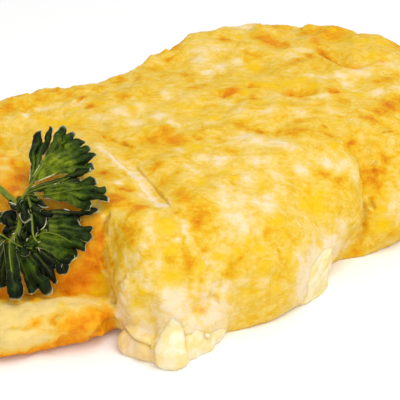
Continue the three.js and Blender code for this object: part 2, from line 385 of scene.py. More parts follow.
eggShape = {
    "voxel": 0.68,
    "smoothing": (0.5, 3),
    "unevenness": [(14.0, 0.7, 3.1), (6.0, 0.45, 8.4), (2.6, 0.16, 5.9)],  # size, height, seed
    "raggedBack": {"from": 24.0, "to": 38.0, "height": 0.9, "size": 4.0, "seed": 21.7},
    "raggedLip": {"height": 0.8, "size": 4.2, "seed": 4.4},
    "ledge": {"level": 7.2, "half": 1.1, "out": 0.9, "under": 1.0},  # of the bottom leaf, along the lip
    "plugSwell": 0.5,
    "seam": {"reach": 3.0, "smoothing": (0.5, 60), "above": (5.0, 9.0)},
    "lobeRim": {"height": 0.8, "reach": 8.0},  # where the egg ends over the flat wedge of filling
    "underFilling": 1.0,  # the egg lies this much lower where filling covers it
    "fineReach": 1.6,  # finer faces this near to creases and edges
    "finestReach": 0.9,
}
# Edge of the outer leaf where it lies over the inner one, from the front corner to the back.
foldEdge = [
    (-51.4, -33), (-50, -24.6), (-46.2, -15.2), (-42, -5), (-41.5, 8), (-44.5, 22), (-46, 38),
    (-40, 51.4),
]
# The same edge near the front corner, as places in a frame 400 wide, where the camera sees it.
cornerEdge = [
    (100, 200), (102, 225), (104, 240), (105, 255), (107, 272), (110, 285), (113, 298), (116, 310),
    (118, 324), (119, 340),
]
# Lower edge of the egg over the filling at the front corner, in the same frame.
wedgeEdge = [(112, 314), (122, 324), (126, 329), (131, 336), (137, 340), (144, 343), (151, 346), (156, 350)]
lobeEdge = wedgeEdge + [
    (160, 337), (165, 325), (172, 317), (180, 321), (185, 333), (191, 335), (198, 329), (206, 333),
    (212, 333), (219, 331), (227, 329), (250, 322),
]
dripStart, lobeEnd = 158, 246  # across in the same frame
# Foot of the inner leaf, beyond which the bottom leaf sticks out as a lip.
lipLine = [
    (-44, -23), (-51.6, -21.6), (-58.6, -19.1), (-67.2, -15), (-74, -8), (-78, 2), (-78, 14), (-73, 29),
    (-60, 41), (-42, 47),
]
# Creases in the same frame: places, half width, depth, and darkness of the painted shade in the crease.
creases = [
    ([(131, 161), (137, 168.5), (144.5, 177), (153, 186.5), (161.5, 196), (168, 204), (174, 213)],
     0.3, 0.5, 0.3),
    ([(105, 137), (113, 139), (124, 143), (130, 146), (142, 145)], 0.3, 0.5, 0.6),
    ([(111, 212), (106, 224), (103, 240)], 0.6, 1.1, 1.0),
    ([(105, 238), (105, 255), (107, 272), (110, 285), (113, 298), (117, 314)], 0.6, 1.5, 1.2),
    ([(115, 285), (121, 281), (126, 274)], 0.35, 0.6, 0.8),
    ([(381, 132), (388, 131.5), (395, 130)], 0.35, 0.8, 0.9),
    ([(222, 97.5), (226, 95.5), (231, 94), (237, 92)], 0.5, 0.7, 0.6),
    ([(246, 88.5), (254, 88), (263, 88)], 0.4, 0.4, 0.35),
    ([(284, 92), (290, 93.5), (298, 94), (306, 93.5), (318, 92.5)], 0.5, 0.7, 0.6),
    ([(326, 90), (331, 92), (336, 93), (341, 90.5)], 0.45, 0.6, 0.6),
    ([(316, 48), (320, 54), (329, 60.5), (340, 66), (352, 68.5), (364, 67)], 0.5, 0.6, 0.4),
    ([(378, 161), (375, 164), (371, 168)], 0.4, 0.6, 0.8),
    ([(369, 195), (372, 204), (375, 211)], 0.5, 0.9, 0.8),
    ([(190, 238), (200, 250), (208, 262), (215, 276)], 0.6, 0.35, 0.1),
    ([(361, 190), (365, 212), (362, 232), (356, 254)], 0.7, 0.9, 0.3),
    ([(203, 337), (206, 342), (211, 341)], 0.5, 0.6, 0.7),
    ([(214, 294), (217, 300), (221, 306)], 0.5, 0.7, 0.5),
    ([(60, 116), (66, 108), (78, 101), (90, 97)], 0.4, 0.5, 0.4),
]
# The pale ridge beside the long crease.
paleRidge = {
    "places": [
        (98, 147), (104, 151), (113, 157.5), (122, 166), (134, 177), (146, 191), (157, 203), (166, 210.5),
        (174, 217), (182, 227), (190, 238), (200, 248), (209, 262), (218, 280),
    ],
    "half": 0.55,
    "height": 0.4,
    "paleness": 0.5,
}
# Torn scoops in the crust, sharp on the near side, with painted shade inside them: the sharp edge in the
# frame, reach behind it, depth.
scoops = [
    {"edge": [(222.5, 97), (227, 94), (236, 91)], "reach": 4, "depth": 2.1},
    {"edge": [(247, 88), (254, 87.5), (262, 87)], "reach": 3, "depth": 1.3},
    {"edge": [(286, 92), (296, 93), (304, 92.5), (317, 92)], "reach": 7, "depth": 2.4},
    {"edge": [(327, 89), (335, 92), (340, 90)], "reach": 3, "depth": 1.7},
    {"edge": [(317, 48), (322, 54), (330, 60), (342, 66), (352, 68), (361, 67), (372, 66), (385, 62),
              (391, 60)],
     "reach": 8, "depth": 2.2},
]
# Soft curds that stand out of the crust, and dents: x, y, z, radius, height.
curds = [
    (-49, -37, 8.5, 4.5, 0.8), (-45, -42, 9, 3.5, 0.5),
    (13, -37, 27, 1.6, 0.9), (15.5, -40, 25, 1.5, 0.7), (20, -43, 22, 1.8, 0.6), (9, -32, 29, 2.2, 0.6),
    (5, -21.5, 30.5, 2.6, 0.6), (-3, -36, 27, 2.2, 0.4), (-45, -41, 14, 2.4, 0.8), (-43, -43, 13, 2.2, 0.6),
    (-50, -33, 15, 1.8, 0.7), (-34, -47, 10, 2, 0.8), (-35, -45, 14, 1.4, 0.7), (30, -48, 12, 2.4, 0.5),
    (-36, 33, 29, 2.6, 0.9), (-26, 28, 29, 2.6, 0.8), (-31, 33, 29.5, 2.2, 0.7), (-42, 30, 29, 2.2, 0.8),
    (-55, -31, 3.4, 1.3, 1.5), (-57.6, -29.6, 3.6, 1.3, -0.9), (-51.6, -30.8, 4, 1.7, -1.5),
    (-61, -28.4, 3.4, 1.6, 0.8), (-66, -25.6, 3.6, 1.6, 0.7), (-58.6, -19.4, 9.8, 1.6, 0.6),
    (-63.5, -19.6, 9.5, 2.0, 0.5), (-55.4, -25, 9.4, 1.6, 0.6), (-70.5, -19.5, 8.6, 1.8, -0.8),
    (-53, -27.8, 9, 1.4, -0.5), (52, 33, 30, 2.2, 1.3), (48, 36, 29.5, 1.8, 1.0), (-2, 44, 29, 2.4, 1.0),
    (20, 36, 30, 2.0, 0.9),
]
# Flakes that stand up at the back edge: place and radius in the frame, rise in millimetres.
flakes = [
    (258, 28, 6, 2.2), (241, 29, 5, 1.0), (281, 31, 6, -0.8), (308, 29, 6, 1.4), (326, 32, 5, 1.0),
    (350, 38, 6, 1.0), (166, 54, 5, 1.4), (152, 59, 5, 1.0), (186, 45, 5, 0.8), (215, 34, 6, 1.2),
    (202, 39, 4, -0.6), (120, 77, 4, 0.8), (92, 85, 4, 0.7), (60, 91, 4, 0.6), (374, 46, 5, 0.8),
]
# Patches of colour by radius in the frame: across, down. The last three are on the inner leaf and the lip.
eggPatches = {
    "brown": {
        2: [(224, 40), (335, 90.5), (323, 125)],
        2.5: [(145, 206), (5, 151), (352, 146), (91, 107)],
        3: [
            (131, 204), (112, 203), (122, 189), (262, 129), (378, 112), (296, 91.5), (226, 95),
            (349, 66.5), (378, 172), (373, 182), (104, 172), (80, 99), (60, 86), (30, 92), (10, 98),
        ],
        3.5: [(272, 42)],
        4: [(117, 199), (2, 143), (390, 106)],
        4.5: [(138, 207)],
    },
    "toast": {
        2: [(105, 137), (316, 176), (290, 51)],
        2.5: [(113, 139), (132, 146), (153, 168)],
        3: [
            (213, 129), (124, 143), (174, 174), (146, 254), (231, 267), (323, 125), (348, 258), (246, 59),
            (333, 89), (285, 104), (320, 53), (327, 59), (90, 107), (205, 85), (250, 100), (330, 134),
            (345, 100), (210, 188), (240, 260), (270, 232), (205, 245), (180, 215), (160, 180),
            (172, 158), (122, 222), (112, 262), (110, 285), (170, 262), (340, 180),
        ],
        3.5: [(196, 137), (235, 91)],
        4: [
            (204, 132), (220, 141), (112, 177), (124, 172), (130, 190), (116, 187), (108, 204),
            (118, 248), (157, 163), (275, 131), (302, 130), (355, 252), (223, 40), (316, 43), (322, 37),
            (309, 57), (290, 65), (226, 93), (254, 86), (296, 91), (237, 101), (376, 83), (252, 128),
            (362, 118), (80, 98), (100, 88), (120, 80), (140, 75), (155, 68), (170, 60), (192, 80),
            (196, 87), (300, 120), (392, 232), (365, 226), (150, 92), (120, 96),
        ],
        5: [
            (150, 138), (168, 132), (233, 151), (104, 172), (130, 227), (115, 236), (131, 239),
            (166, 178), (182, 196), (196, 222), (187, 259), (293, 131), (352, 146), (322, 173),
            (366, 170), (384, 160), (283, 46), (263, 38), (305, 34), (300, 60), (250, 56), (348, 65),
            (398, 75), (385, 81), (262, 129), (240, 126), (70, 95), (55, 91), (40, 97), (25, 102),
            (10, 105), (185, 75),
        ],
        6: [
            (158, 138), (175, 141), (122, 189), (138, 207), (198, 214), (233, 275), (398, 99), (374, 120),
        ],
        7: [(168, 139), (117, 200), (378, 172), (373, 182), (272, 42), (380, 110), (391, 106)],
    },
    "yolk": {
        2: [(333, 212), (333, 221), (287, 232), (286, 240), (387, 197)],
        2.5: [(156, 216), (160, 231), (158, 240), (155, 247), (330, 195), (331, 230), (276, 281)],
        3: [
            (205, 147), (219, 172), (234, 178), (347, 196), (351, 237), (309, 245), (297, 262),
            (280, 290), (392, 219), (388, 62), (244, 93), (70, 120), (151, 322), (158, 334), (180, 105),
            (300, 141), (360, 95), (100, 104), (130, 108), (222, 80), (205, 100), (188, 108), (148, 128),
            (340, 120), (128, 332), (144, 289), (157, 306), (300, 28),
        ],
        3.5: [(119, 260), (333, 145), (136, 318)],
        4: [
            (168, 226), (227, 170), (172, 252), (202, 268), (321, 192), (317, 243), (290, 258),
            (379, 209), (381, 196), (368, 40), (381, 42), (306, 90), (256, 104), (285, 104), (45, 121),
            (60, 124), (138, 303), (246, 296), (258, 290), (230, 300), (220, 258), (250, 240), (265, 270),
            (195, 115), (210, 118), (72, 110), (236, 250), (260, 188), (386, 60), (330, 30), (238, 36),
        ],
        4.5: [(162, 222), (371, 54)],
        5: [(303, 206), (345, 40), (357, 41), (245, 82), (311, 86), (262, 248), (280, 222)],
        5.5: [(196, 147), (200, 184)],
        6: [(262, 84), (275, 86), (290, 82), (303, 80), (252, 68)],
        6.5: [(171, 280)],
        7.5: [(382, 226)],
        9: [(312, 203)],
    },
    "cream": {
        2: [(191, 240), (198, 248), (204, 256)],
        2.5: [
            (112, 250), (119, 166), (139, 173), (183, 226), (209, 265), (361, 205), (363, 217),
            (360, 230),
        ],
        3: [
            (177, 314), (224, 306), (208, 298), (200, 331), (135, 271), (121, 318), (133, 296),
            (145, 334), (98, 148), (104, 151), (110, 156), (115, 161), (144, 181), (150, 189), (162, 206),
            (129, 275), (131, 267), (118, 304), (178, 124), (387, 213), (310, 75), (321, 78), (326, 94),
            (315, 95), (281, 95), (196, 288), (108, 232), (112, 244), (114, 258), (176, 240), (150, 214),
            (143, 196), (120, 182), (140, 162), (210, 122),
        ],
        3.2: [(156, 197)],
        3.5: [
            (171, 304), (187, 306), (193, 322), (206, 321), (217, 314), (119, 277), (127, 262),
            (150, 270), (350, 244), (185, 231),
        ],
        4: [
            (338, 246), (332, 240), (228, 290), (240, 280), (262, 283), (122, 160), (159, 206), (98, 217),
            (188, 165), (211, 284), (169, 294), (150, 235), (135, 258), (336, 169), (354, 178),
            (293, 152), (208, 72), (302, 52), (346, 83), (225, 104), (400, 90), (60, 105), (75, 104),
            (40, 108), (25, 116), (8, 121), (170, 122), (300, 170), (306, 284), (215, 303), (205, 296),
            (345, 225), (122, 300), (121, 310), (123, 285), (140, 276), (150, 284), (162, 262),
            (180, 150), (240, 112), (270, 112), (300, 112), (330, 110), (355, 120),
        ],
        4.5: [(128, 165), (134, 171), (140, 180), (147, 189), (153, 198), (392, 205)],
        5: [
            (180, 297), (126, 286), (122, 296), (205, 160), (196, 170), (216, 287), (180, 294),
            (142, 250), (324, 163), (345, 166), (286, 147), (279, 190), (268, 200), (230, 50), (236, 61),
            (220, 66), (291, 57), (340, 75), (381, 92), (100, 118), (140, 105), (165, 95), (260, 160),
            (300, 290), (330, 256), (268, 160),
        ],
        6: [
            (216, 160), (222, 190), (276, 178), (200, 60), (362, 72), (246, 137), (270, 143), (118, 112),
            (135, 120), (160, 115), (240, 230), (325, 246), (300, 262), (302, 288), (250, 180),
            (262, 205),
        ],
        7: [(252, 222), (278, 143), (200, 50), (215, 48), (257, 141)],
        8: [(225, 200), (241, 203), (312, 250), (318, 262), (308, 275)],
        9: [(235, 215)],
    },
    "orange": {
        2: [(322, 56), (384, 64)],
        2.5: [(262, 87), (319, 51), (194, 309), (203, 308)],
        2.6: [(314, 90)],
        2.8: [(233, 91.5), (331, 90.5)],
        3: [
            (224, 95), (251, 86.5), (257, 86), (288, 91), (308, 90), (336, 90.5), (268, 36), (132, 206),
            (138, 208),
        ],
        3.2: [(228, 93), (343, 64.5)],
        3.4: [(294, 91), (301, 90.5)],
        3.6: [(350, 66), (357, 65.5)],
        4: [(272, 42), (315, 40), (172, 140), (180, 137)],
    },
    "amber": {
        3: [
            (24, 193), (5, 150), (17, 200), (32, 172), (20, 297), (35, 299), (27, 329), (48, 330),
            (45, 343), (55, 341),
        ],
        4: [
            (15, 165), (30, 133), (72, 280), (100, 255), (88, 265), (76, 298), (90, 250), (99, 240),
            (2, 296), (72, 330), (84, 326), (98, 330),
        ],
        4.5: [(33, 325)],
        5: [
            (16, 178), (13, 190), (2, 142), (70, 290), (95, 270), (60, 322), (72, 318), (104, 320),
            (58, 333),
        ],
        6: [(83, 280), (85, 318), (96, 315)],
    },
    "lemon": {
        2.5: [(52, 322)],
        3: [(14, 151), (22, 165), (21, 150), (62, 308), (15, 330)],
        4: [(106, 300), (88, 298), (103, 281), (28, 155)],
        4.5: [(13, 135)],
        5: [(13, 145), (98, 295), (106, 290)],
    },
    "pale": {
        3: [(90, 303), (40, 338), (48, 317), (112, 305)],
        3.5: [(5, 160), (3, 170)],
        4: [(58, 303), (68, 305), (80, 303), (30, 312)],
        5: [(40, 303), (45, 310), (20, 315), (25, 340), (3, 307)],
        6: [(25, 305), (10, 335)],
        7: [(8, 320)],
    },
}
# Patches on the sides that face away: x, y, z, radius.
hiddenPatches = {
    "brown": [
        (-20, 43, 29, 3.3), (-30, 42, 28, 2.6), (30, 44, 25, 2.6),
    ],
    "toast": [
        (30, 40, 29, 5.4), (8, 42, 29, 5.4), (84, -5, 26, 6.8), (70, 34, 27, 6.8), (-16, 48, 22, 6.8),
        (40, 46, 20, 6.8), (75, 14, 30, 6.8), (86, 10, 20, 6.8), (60, 40, 24, 5.4), (78, -20, 26, 5.4),
        (64, -34, 27, 5.4), (0, 48, 18, 5.4), (-34, 48, 20, 5.4),
    ],
    "yolk": [
        (60, -42, 20, 5.4), (88, -6, 14, 5.4), (74, 34, 16, 5.4), (20, 46, 14, 5.4),
        (-22, 50, 12, 5.4),
    ],
    "cream": [
        (50, -48, 14, 7), (70, -36, 20, 7), (86, 8, 24, 5.6), (78, 26, 24, 7), (50, 46, 14, 5.6),
        (10, 46, 24, 7), (-10, 49, 14, 7), (30, -48, 12, 4.5), (70, -20, 27, 7), (60, 35, 28, 5.6),
    ],
    "amber": [
        (-76, 8, 22, 5.4), (-68, 24, 22, 5.4), (-84, -4, 6, 4.1), (-86, 16, 5, 5.4), (-72, 38, 6, 5.4),
        (-60, 30, 25, 5.4),
    ],
    "lemon": [
        (-70, 16, 25, 4.5), (-62, 36, 20, 4.5),
    ],
    "pale": [
        (-88, 4, 7, 5.2), (-80, 28, 8, 5.2), (-80, -12, 9, 3.9), (-58, 20, 27, 3.9), (-60, 44, 8, 5.2),
    ],
}
patchSpread = 1.65  # the patches fade beyond the radius
paintShares = {"brown": 0.22, "toast": 0.34, "cream": -0.38}
frameMiddle = 200  # the frame is 400 wide and high
topLevel = (24, 26)  # the crust of the top begins between these heights


def seenAt(skin, across, down):
    # The point of a skin that the camera sees at a place in the frame, and the millimetres per unit there.
    look = scene.camera.data
    half = look.sensor_width / look.lens / 2
    ray = Vector(((across / frameMiddle - 1) * half, (1 - down / frameMiddle) * half, -1))
    ray.rotate(scene.camera.rotation_euler)
    spot, _, _, distance = skin.ray_cast(scene.camera.location, ray.normalized())
    if spot is None:
        return None, 0
    return np.array(spot) / mm, distance / mm * half / frameMiddle


def inFrame(points):
    # Where the camera sees points, in the same frame.
    camera = scene.camera
    at = (points * mm - np.array(camera.location)) @ np.array(camera.rotation_euler.to_matrix())
    zoom = 2 * frameMiddle * camera.data.lens / camera.data.sensor_width
    across, down = -at[:, 0] / at[:, 2], at[:, 1] / at[:, 2]
    return frameMiddle + zoom * np.stack([across, down], axis=1)


def coveredByEgg(points):
    # 1 where the egg lies over the filling at the corner, the rise above its edge, and the frame places.
    seen = inFrame(points)
    above = np.interp(seen[:, 0], *zip(*lobeEdge)) - seen[:, 1]
    soft = 1.2 + 3.0 * steps(seen[:, 0], dripStart - 1, dripStart + 5)
    return steps(above / soft, -1, 0.8) * steps(lobeEnd - seen[:, 0], 0, 6), above, seen


def placeMarks(skin):
    # Everything that is placed in the frame, in millimetres on the skin.
    def line(places):
        return [tuple(spot) for spot in (seenAt(skin, *place)[0] for place in places) if spot is not None]

    def spots(places, spreading=1.0):
        found = []
        for across, down, radius, *rest in places:
            spot, perPixel = seenAt(skin, across, down)
            if spot is not None:
                found.append((*spot, spreading * radius * perPixel, *rest))
        return found

    patches = {}
    for name, places in eggPatches.items():
        seen = [(*place, radius) for radius, group in places.items() for place in group]
        patches[name] = hiddenPatches.get(name, []) + spots(seen, patchSpread)
    return {
        "creases": [(line(places), *rest) for places, *rest in creases],
        "wedgeEdge": line(wedgeEdge),
        "paleRidge": line(paleRidge["places"]),
        "scoops": [{**scoop, "edge": [spot[:2] for spot in line(scoop["edge"])]} for scoop in scoops],
        "flakes": spots(flakes),
        "patches": patches,
    }


def dissolveUnderside(piece, depth=0.05):
    # The flat underside needs few faces.
    bm = bmesh.new()
    bm.from_mesh(piece.data)
    flat = [v for v in bm.verts if v.co.z < depth * mm and all(f.normal.z < -0.99 for f in v.link_faces)]
    edges = list({e for v in flat for e in v.link_edges})
    bmesh.ops.dissolve_limit(bm, angle_limit=math.radians(3), verts=flat, edges=edges)
    bmesh.ops.triangulate(bm, faces=[f for f in bm.faces if len(f.verts) > 4])
    bm.to_mesh(piece.data)
    bm.free()


def refineNear(piece, lines, reach):
    # Halves the faces along creases and torn edges.
    points, _ = readPoints(piece.data)
    close = np.zeros(len(points), bool)
    for line in lines:
        distance, _, _ = nearLine(points, line)
        close |= (distance < reach) & (points[:, 2] > 1)
    bm = bmesh.new()
    bm.from_mesh(piece.data)
    bm.verts.ensure_lookup_table()
    chosen = [e for e in bm.edges if close[e.verts[0].index] and close[e.verts[1].index]]
    bmesh.ops.subdivide_edges(bm, edges=chosen, cuts=1, use_grid_fill=True, smooth=0.0)
    bm.to_mesh(piece.data)
    bm.free()


def besideFilling(points, eggSkin, fillingSkin):
    # 1 where the skin is the filling's and 0 where it is the egg's, and how far off the filling is.
    share = np.zeros(len(points))
    away = np.full(len(points), 99.0)
    low, high = (np.array(corner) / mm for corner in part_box("soft_filling"))
    near = np.all((points > low - 6) & (points < high + 6), axis=1)
    for i in np.flatnonzero(near):
        at = Vector(points[i] * mm)
        away[i] = fillingSkin.find_nearest(at)[3] / mm
        share[i] = eggSkin.find_nearest(at)[3] / mm - away[i]
    share[~near] = -1
    return steps(share, -0.5, 0.7), away


def unevenness(points, layers):
    return sum(height * lumps(points, size, seed) for size, height, seed in layers)


def onPaleRidge(points, marks):
    away, along, _ = nearLine(points, marks["paleRidge"])
    thinning = 1 - 0.6 * steps(along, 0.5, 0.8)
    return thinning * fading(along, 0, 0.15) * bell(away, paleRidge["half"])


def sculptEgg(piece, shape, marks, onFilling):
    points, normals = readPoints(piece.data)
    x, y, z = points.T.copy()
    up = steps(z, 0.4, 3.0)  # nothing moves on the underside
    move = unevenness(points, shape["unevenness"])
    back, lip, ledge, rim = (shape[name] for name in ("raggedBack", "raggedLip", "ledge", "lobeRim"))
    ragged = 0.3 - np.abs(lumps(points, back["size"], back["seed"], 2))
    move += back["height"] * ragged * steps(y - 0.25 * x, back["from"], back["to"])
    onLip = steps(-50 - x, 0, 6) * steps(11 - z, 0, 3) * steps(-y, -5, 5)
    move += lip["height"] * lumps(points, lip["size"], lip["seed"], 3) * onLip
    level = z - ledge["level"] - 1.4 * lumps(points, 6.0, 2.8, 2)
    move += onLip * (ledge["out"] * bell(level, ledge["half"]) - ledge["under"] * steps(-level, 1.0, 3.5))
    for line, half, depth, _ in marks["creases"]:
        away, along, _ = nearLine(points, line)
        groove = bell(away, half) - 0.25 * bell(away - 2.2 * half, 1.2 * half)  # with a low bank
        move -= depth * fading(along, 0, 0.25) * groove
    move += paleRidge["height"] * onPaleRidge(points, marks)
    for *spot, height in curds:
        move += height * around(points, *spot)
    cover, above, seen = coveredByEgg(points)
    onRim = cover * bell(above, rim["reach"])
    onRim *= steps(dripStart - seen[:, 0], 0, 3) * steps(seen[:, 0], 110, 118)
    move = move * up + rim["height"] * onRim - shape["underFilling"] * onFilling ** 4
    points += normals * move[:, None]
    down = np.zeros(len(points))
    onTop = steps(points[:, 2], *topLevel)
    for scoop in marks["scoops"]:
        away, along, side = nearLine(points, scoop["edge"])
        behind = steps(away * side, -0.1, 0.35) * np.clip(1 - away / scoop["reach"], 0, 1) ** 1.3
        down += scoop["depth"] * behind * np.sqrt(fading(along, -0.02, 0.35)) * onTop
    for *spot, rise in marks["flakes"]:
        points[:, 2] += rise * around(points, *spot) * (0.7 + 0.6 * lumps(points, 1.8, 9.9, 2))
    points[:, 2] -= down
    writePoints(piece.data, points)
    return down


def paintEgg(piece, marks, down, awayFromFilling):
    points, _ = readPoints(piece.data)
    x, y, z = points.T
    warp = np.stack([lumps(points, 5.0, seed, 2) for seed in (1.3, 5.7, 9.2)], axis=1)
    masks = {name: spread(points + 1.3 * warp, spots) for name, spots in marks["patches"].items()}
    done = sum(share * masks[name] for name, share in paintShares.items())
    # Painted shade where the scoops go deeper; paler beside the filling.
    done += 0.1 * np.clip(down / 1.2, 0, 1) - 0.27 * bell(awayFromFilling, 3.8)
    done -= paleRidge["paleness"] * onPaleRidge(points, marks)
    # Painted shade just behind the sharp near edge of each scoop.
    for scoop in marks["scoops"]:
        away, along, side = nearLine(points, scoop["edge"])
        deep = min(scoop["depth"] / 1.5, 1) * fading(along, -0.05, 0.3)
        done += 0.5 * deep * bell(away * side - 0.4, 0.8) * steps(z, *topLevel)
    away, _, side = nearLine(points, foldEdge)
    inner = steps(away * side, -0.2, 0.5) * steps(-32 - x, 0, 2)
    grain = lumps(points, 3.5, 6.6, 3)
    away, _, side = nearLine(inFrame(points), cornerEdge)
    inner += steps(-16 - y, 0, 2) * (steps(away * side + 4 * grain, -2.5, 2.5) - inner)
    away, _, side = nearLine(points, lipLine)
    lip = inner * steps(away * side + 1.2 * grain, -0.6, 0.8)
    crest = steps(z + 0.7 * grain, 8.2, 9.2)
    leftEnd = steps(-65 - x + 2.5 * grain, -1.2, 1.2) * steps(z, 2, 3.5)
    # Painted shade in the creases, by each crease's darkness, broken up by noise.
    crease = np.zeros(len(points))
    faint = 0.6 + 0.6 * np.clip(lumps(points, 3.0, 2.2, 2), -1, 0.6)
    for line, half, _, dark in marks["creases"]:
        away, along, _ = nearLine(points, line)
        crease = np.maximum(crease, dark * faint * fading(along, 0, 0.3) * bell(away, half))
    writeMasks(piece.data, {
        "done": done, "inner": inner, "ledge": lip * np.maximum(crest, leftEnd), "crease": crease,
        "amber": 0.42 * masks["amber"] - 0.45 * masks["pale"] + 0.25 * lip * steps(4.5 - z, -1, 2.5),
        "yolk": np.where(inner > 0.5, masks["lemon"], masks["yolk"]), "orange": masks["orange"],
    })


eggFinish = {
    # From barely set to browned, at shares of the way.
    "ramp": [
        (0.0, (241, 219, 180)), (0.2, (239, 209, 136)), (0.38, (235, 199, 90)), (0.54, (231, 186, 42)),
        (0.7, (227, 167, 12)), (0.84, (222, 144, 8)), (1.0, (208, 120, 6)),
    ],
    "innerRamp": [
        (0.0, (239, 209, 128)), (0.25, (237, 192, 74)), (0.48, (238, 168, 20)), (0.72, (232, 140, 6)),
        (1.0, (208, 106, 4)),
    ],
    "base": 0.46,
    "done": {"done": 1.0, "wide": 0.5, "small": 0.95, "streaks": 0.7},
    "innerDone": {"amber": 1.0, "wide": 0.6, "small": 0.9, "streaks": 0.3, "ledge": -0.36},
    # Noises: size, detail, roughness, distortion.
    "noises": {"wide": (11.0, 3.0, 0.5, 1.2), "small": (3.0, 6.0, 0.72, 1.6)},
    "fibres": {"streaks": (1.3, 5.0, 0.7, 0.5), "fine": (0.9, 5.0, 0.6, 0.0)},
    "fibreTurn": -43,
    "fibreStretch": 3,
    # Colours over the ramps, and their shares.
    "over": {
        "orange": (srgb(232, 142, 4), 0.85),
        "yolk": (srgb(238, 194, 0), 0.9),
        # The crease colour is painted shade in the creases.
        "crease": (srgb(164, 100, 8), 0.75),
    },
    "yolkPatch": (2.6, 0.45, -0.05, 1.05),
    "relief": (0.8, 0.4),  # strength, depth
    "shader": {
        "Roughness": 0.5, "Specular IOR Level": 0.12, "Subsurface Weight": 0.15,
        "Subsurface Radius": (1.0, 0.6, 0.2), "Subsurface Scale": 2.0 * mm,
    },
}


def eggMaterial(finish):
    material = newMaterial("fried egg", finish["shader"])
    tree = material.node_tree
    place = objectPlace(tree)
    stretch = {"Vector": place, "Rotation": (0, 0, math.radians(finish["fibreTurn"])),
               "Scale": (finish["fibreStretch"], 1, 1)}
    along = addNode(tree, "ShaderNodeMapping", stretch, vector_type="TEXTURE").outputs[0]
    parts = {name: paintedMask(tree, name) for name in ("done", "amber", "ledge", "orange", "crease")}
    parts.update({name: noise(tree, place, *values) for name, values in finish["noises"].items()})
    parts.update({name: noise(tree, along, *values) for name, values in finish["fibres"].items()})
    parts["yolk"] = patch(tree, paintedMask(tree, "yolk"), *finish["yolkPatch"])
    color = addRamp(tree, weighted(tree, finish["base"], parts, finish["done"]), finish["ramp"])
    inner = addRamp(tree, weighted(tree, finish["base"], parts, finish["innerDone"]), finish["innerRamp"])
    color = blended(tree, color, inner, paintedMask(tree, "inner"))
    for name, (over, share) in finish["over"].items():
        color = blended(tree, color, over, parts[name], share)
    height = weighted(tree, parts["fine"], parts, {"small": 0.9})
    return finishSurface(material, color, height, *finish["relief"])


def makeEgg(shape):
    # The filling's own place is filled too, so that no slit shows beside it.
    bm = nodeCopy("folded_egg")
    eggSkin = BVHTree.FromBMesh(bm)
    fillingSkin = BVHTree.FromBMesh(nodeCopy("soft_filling"))
    moveInto(bm, nodeCopy("soft_filling", shape["plugSwell"]))
    egg = remeshed(newPiece("egg_leaves", bm), shape["voxel"])
    egg = smoothed(egg, *shape["smoothing"])
    points, _ = readPoints(egg.data)
    points[:, 2] = np.where(points[:, 2] < 0.35, 0, points[:, 2])
    writePoints(egg.data, points)
    seam = shape["seam"]
    _, away = besideFilling(points, eggSkin, fillingSkin)
    egg = smoothed(egg, *seam["smoothing"], bell(away, seam["reach"]) * steps(points[:, 2], *seam["above"]))
    dissolveUnderside(egg)
    bm = bmesh.new()
    bm.from_mesh(egg.data)
    skin = BVHTree.FromBMesh(bm)
    bm.free()
    marks = placeMarks(skin)
    sharp = [crease[0] for crease in marks["creases"]] + [scoop["edge"] for scoop in marks["scoops"]]
    sharp.append(marks["wedgeEdge"])
    refineNear(egg, sharp + [marks["paleRidge"]], shape["fineReach"])
    refineNear(egg, sharp, shape["finestReach"])
    points, _ = readPoints(egg.data)
    onFilling, away = besideFilling(points, eggSkin, fillingSkin)
    onFilling *= 1 - coveredByEgg(points)[0]
    down = sculptEgg(egg, shape, marks, onFilling)
    paintEgg(egg, marks, down, away)
    dress(egg, eggMaterial(eggFinish))
    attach(egg, "root")
    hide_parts("folded_egg")
    print("egg leaves:", len(egg.data.vertices), "vertices")
    return skin, eggSkin, fillingSkin


# Soft filling

fillingShape = {
    "voxel": 0.45,
    "smoothing": (0.5, 10),
    "swell": 0.5,
    "unevenness": [(3.2, 0.2, 2.2), (1.2, 0.05, 6.1)],  # size, height, seed
    "lift": 0.05,  # over the egg's skin where it shows
    "sink": 0.35,  # beside that
    "groove": 1.3,  # half width in the frame
    # The seam is painted shade along the edge of the egg.
    "seam": 0.8,  # darkness along the edge of the egg
}
# Grooves between the curds, with painted shade in them: places in the frame, depth.
fillingGrooves = [
    ([(183, 316), (185, 326), (186.5, 340), (188, 358)], 0.5), ([(203, 333), (206, 339), (212, 342)], 0.6),
    ([(212, 326), (214, 334), (212, 346)], 0.5), ([(161, 318), (158, 330), (157, 345)], 0.4),
    ([(196, 318), (192, 326), (194, 334)], 0.3), ([(322, 252), (318, 266), (310, 280)], 0.4),
    ([(332, 250), (328, 262), (322, 274)], 0.4),
]
fillingFinish = {
    "cream": srgb(238, 216, 144),
    "white": srgb(243, 232, 200),
    "whitePatch": (0.5, 4.0, 0.8, 0.3, 0.75),
    "yolk": srgb(232, 200, 70),
    "yolkPatch": (0.4, 3.4, 0.8, 0.45, 1.1),
    "peach": srgb(230, 188, 130),
    "peachShare": 0.45,
    "peachStreaks": 0.3,
    "streakLength": 0.12,
    # Painted shade along the egg's edge and in the grooves between curds.
    "seam": srgb(226, 176, 40),
    "seamShadeShare": 0.75,
    "eggBase": 0.2,
    "eggSmall": 0.95,
    "borderPatch": (1.6, 0.5, 0.15, 0.9),
    "grainSize": 10 / 7,
    "relief": (0.2, 0.2),
    "shader": {
        "Roughness": 0.38, "Specular IOR Level": 0.2, "Subsurface Weight": 0.3,
        "Subsurface Radius": (1.0, 0.7, 0.35), "Subsurface Scale": 2.5 * mm,
    },
}


